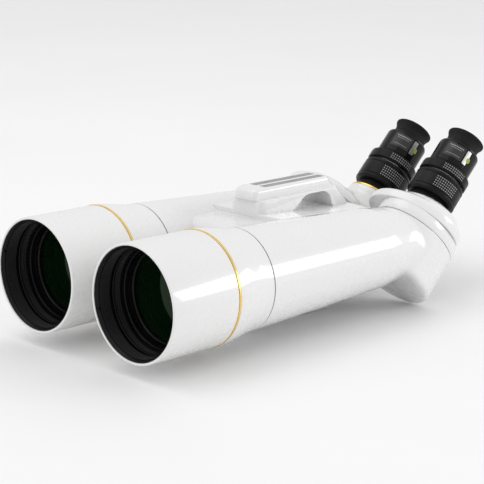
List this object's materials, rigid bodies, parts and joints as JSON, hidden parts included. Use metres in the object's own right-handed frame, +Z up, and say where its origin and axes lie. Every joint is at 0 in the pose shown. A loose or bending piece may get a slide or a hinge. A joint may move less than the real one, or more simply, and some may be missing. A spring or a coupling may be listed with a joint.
{
  "type": "giant binocular telescope",
  "caption": "Giant binocular telescope: white objective tubes on a centre frame, angled eyepieces on swivelling turrets, helical focusers, carry handle and dovetail bar.",
  "frame": {"origin": "centre of the dovetail bar's underside, midway between the tubes", "axes": "the objectives look towards -Y, the eyepieces rise towards +Y and +Z, +Z is up, and +X is the tube nearer the camera in the picture"},
  "size_m": [0.2272, 0.4725, 0.1515],
  "materials": {
    "white_paint": "gloss white powder coat on cast aluminium",
    "black_anodised": "satin black anodised, knurled in places",
    "gloss_black": "gloss black lacquer",
    "inner_black": "flat black",
    "gold_trim": "polished gold",
    "crown_glass": "green anti-reflection coating",
    "flint_glass": "clear",
    "prism_glass": "clear",
    "satin_steel": "satin",
    "chrome": "polished",
    "rubber": "matt black"
  },
  "bodies": {
    "binocular": {"centre_frame": "white_paint", "handle": "white_paint", "dovetail_bar": "white_paint", "mount_bolt_front": "satin_steel", "mount_bolt_rear": "satin_steel", "dew_shield_r": "white_paint", "hood_liner_r": "black_anodised", "gold_ring_r": "gold_trim", "shoulder_r": "white_paint", "lens_cell_r": "black_anodised", "retaining_ring_r": "black_anodised", "crown_lens_r": "crown_glass", "lens_spacer_r": "black_anodised", "flint_lens_r": "flint_glass", "optical_tube_r": "white_paint", "baffle_r": "inner_black", "prism_housing_r": "white_paint", "prism_cradle_r": "black_anodised", "erecting_prism_r": "prism_glass", "rear_cover_r": "white_paint", "dew_shield_l": "white_paint", "hood_liner_l": "black_anodised", "gold_ring_l": "gold_trim", "shoulder_l": "white_paint", "lens_cell_l": "black_anodised", "retaining_ring_l": "black_anodised", "crown_lens_l": "crown_glass", "lens_spacer_l": "black_anodised", "flint_lens_l": "flint_glass", "optical_tube_l": "white_paint", "baffle_l": "inner_black", "prism_housing_l": "white_paint", "prism_cradle_l": "black_anodised", "erecting_prism_l": "prism_glass", "rear_cover_l": "white_paint"},
    "right_turret": {"turret_r": "white_paint", "rhomboid_prism_r": "prism_glass", "turret_ring_r": "gold_trim", "focuser_base_r": "black_anodised"},
    "right_focus_ring": {"focus_ring_r": "black_anodised"},
    "right_draw_tube": {"draw_tube_r": "satin_steel"},
    "right_clamp_ring": {"clamp_ring_r": "black_anodised"},
    "right_eyepiece": {"eyepiece_body_r": "gloss_black", "eyepiece_barrel_r": "chrome", "eyecup_r": "rubber", "eye_lens_r": "crown_glass", "field_lens_r": "crown_glass"},
    "left_turret": {"turret_l": "white_paint", "rhomboid_prism_l": "prism_glass", "turret_ring_l": "gold_trim", "focuser_base_l": "black_anodised"},
    "left_focus_ring": {"focus_ring_l": "black_anodised"},
    "left_draw_tube": {"draw_tube_l": "satin_steel"},
    "left_clamp_ring": {"clamp_ring_l": "black_anodised"},
    "left_eyepiece": {"eyepiece_body_l": "gloss_black", "eyepiece_barrel_l": "chrome", "eyecup_l": "rubber", "eye_lens_l": "crown_glass", "field_lens_l": "crown_glass"}
  },
  "joints": [
    {"name": "right_turret_swivel", "type": "hinge", "parent": "binocular", "child": "right_turret", "pos_m": [0.0628, 0.1582, 0.0625], "axis": [0, 0.7071, 0.7071], "range_deg": [-10, 13]},
    {"name": "right_focus", "type": "hinge", "parent": "right_turret", "child": "right_focus_ring", "pos_m": [0.0333, 0.2275, 0.095], "axis": [0, 0.7071, 0.7071], "range_deg": [-72, 288]},
    {"name": "right_draw", "type": "slide", "parent": "right_turret", "child": "right_draw_tube", "axis": [0, 0.7071, 0.7071], "range_m": [-0.00205, 0.00805]},
    {"name": "right_clamp_twist", "type": "hinge", "parent": "right_draw_tube", "child": "right_clamp_ring", "pos_m": [0.0333, 0.2275, 0.095], "axis": [0, 0.7071, 0.7071], "range_deg": [0, 60]},
    {"name": "right_eyepiece_pull", "type": "slide", "parent": "right_draw_tube", "child": "right_eyepiece", "axis": [0, 0.7071, 0.7071], "range_m": [0, 0.028]},
    {"name": "left_turret_swivel", "type": "hinge", "parent": "binocular", "child": "left_turret", "pos_m": [-0.0628, 0.1582, 0.0625], "axis": [0, 0.7071, 0.7071], "range_deg": [-13, 10]},
    {"name": "left_focus", "type": "hinge", "parent": "left_turret", "child": "left_focus_ring", "pos_m": [-0.0333, 0.2275, 0.095], "axis": [0, 0.7071, 0.7071], "range_deg": [-72, 288]},
    {"name": "left_draw", "type": "slide", "parent": "left_turret", "child": "left_draw_tube", "axis": [0, 0.7071, 0.7071], "range_m": [-0.00205, 0.00805]},
    {"name": "left_clamp_twist", "type": "hinge", "parent": "left_draw_tube", "child": "left_clamp_ring", "pos_m": [-0.0333, 0.2275, 0.095], "axis": [0, 0.7071, 0.7071], "range_deg": [0, 60]},
    {"name": "left_eyepiece_pull", "type": "slide", "parent": "left_draw_tube", "child": "left_eyepiece", "axis": [0, 0.7071, 0.7071], "range_m": [0, 0.028]}
  ],
  "couplings": [
    {"joint": "right_draw", "follows": "right_focus", "m_per_rad": 0.0015915},
    {"joint": "left_draw", "follows": "left_focus", "m_per_rad": 0.0015915}
  ]
}
